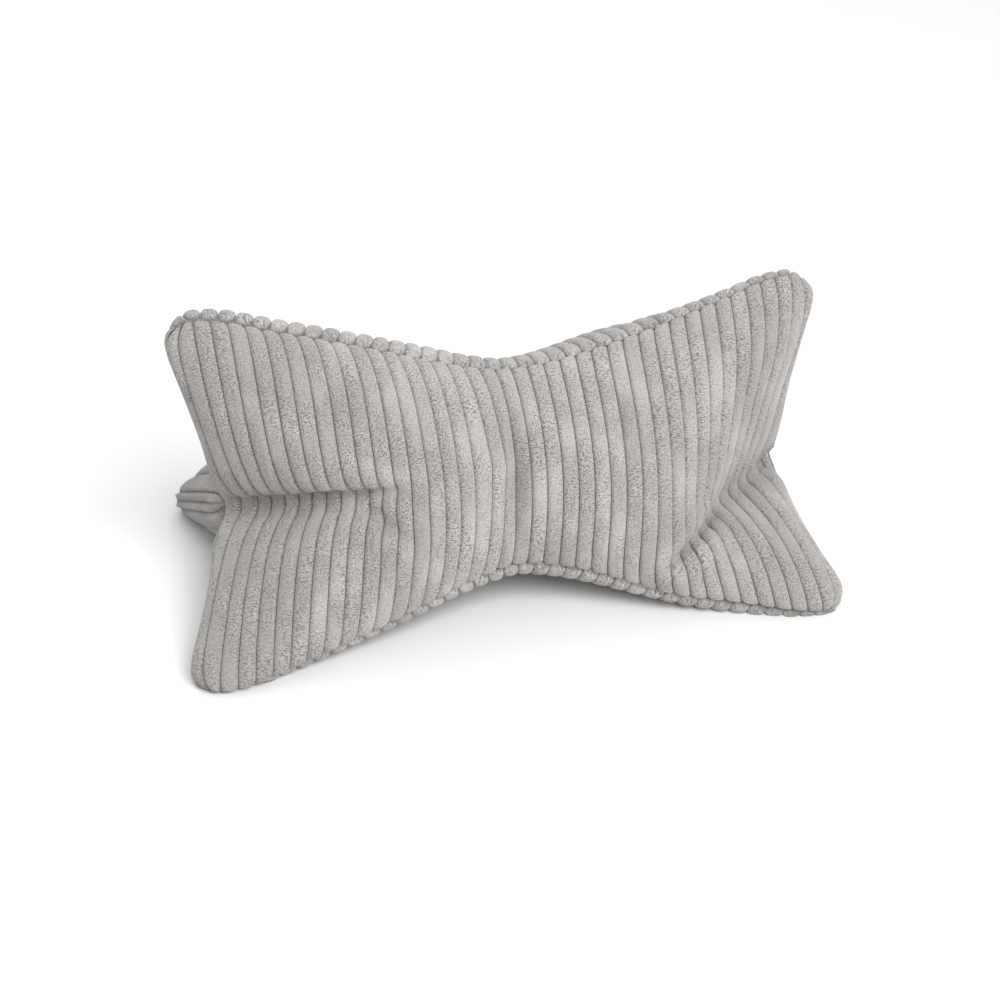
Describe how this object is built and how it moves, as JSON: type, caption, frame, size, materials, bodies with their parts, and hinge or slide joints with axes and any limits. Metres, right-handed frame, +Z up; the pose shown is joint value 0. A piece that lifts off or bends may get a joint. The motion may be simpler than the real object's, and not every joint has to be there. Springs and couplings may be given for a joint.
{
  "type": "headrest cushion",
  "caption": "Bone-shaped neck and reading cushion sewn from three broad-wale corduroy panels, filled, standing on its base panel.",
  "frame": {"origin": "on the floor under the middle of the cushion's bounding box", "axes": "+X along the cushion from its left end to its right end as seen from the front panel, -Y towards the front panel, +Z up"},
  "size_m": [0.4216, 0.2372, 0.2051],
  "materials": {
    "fabric": "broad-wale corduroy velvet, warm light grey"
  },
  "bodies": {
    "root": {"cushion": "fabric"}
  },
  "joints": []
}
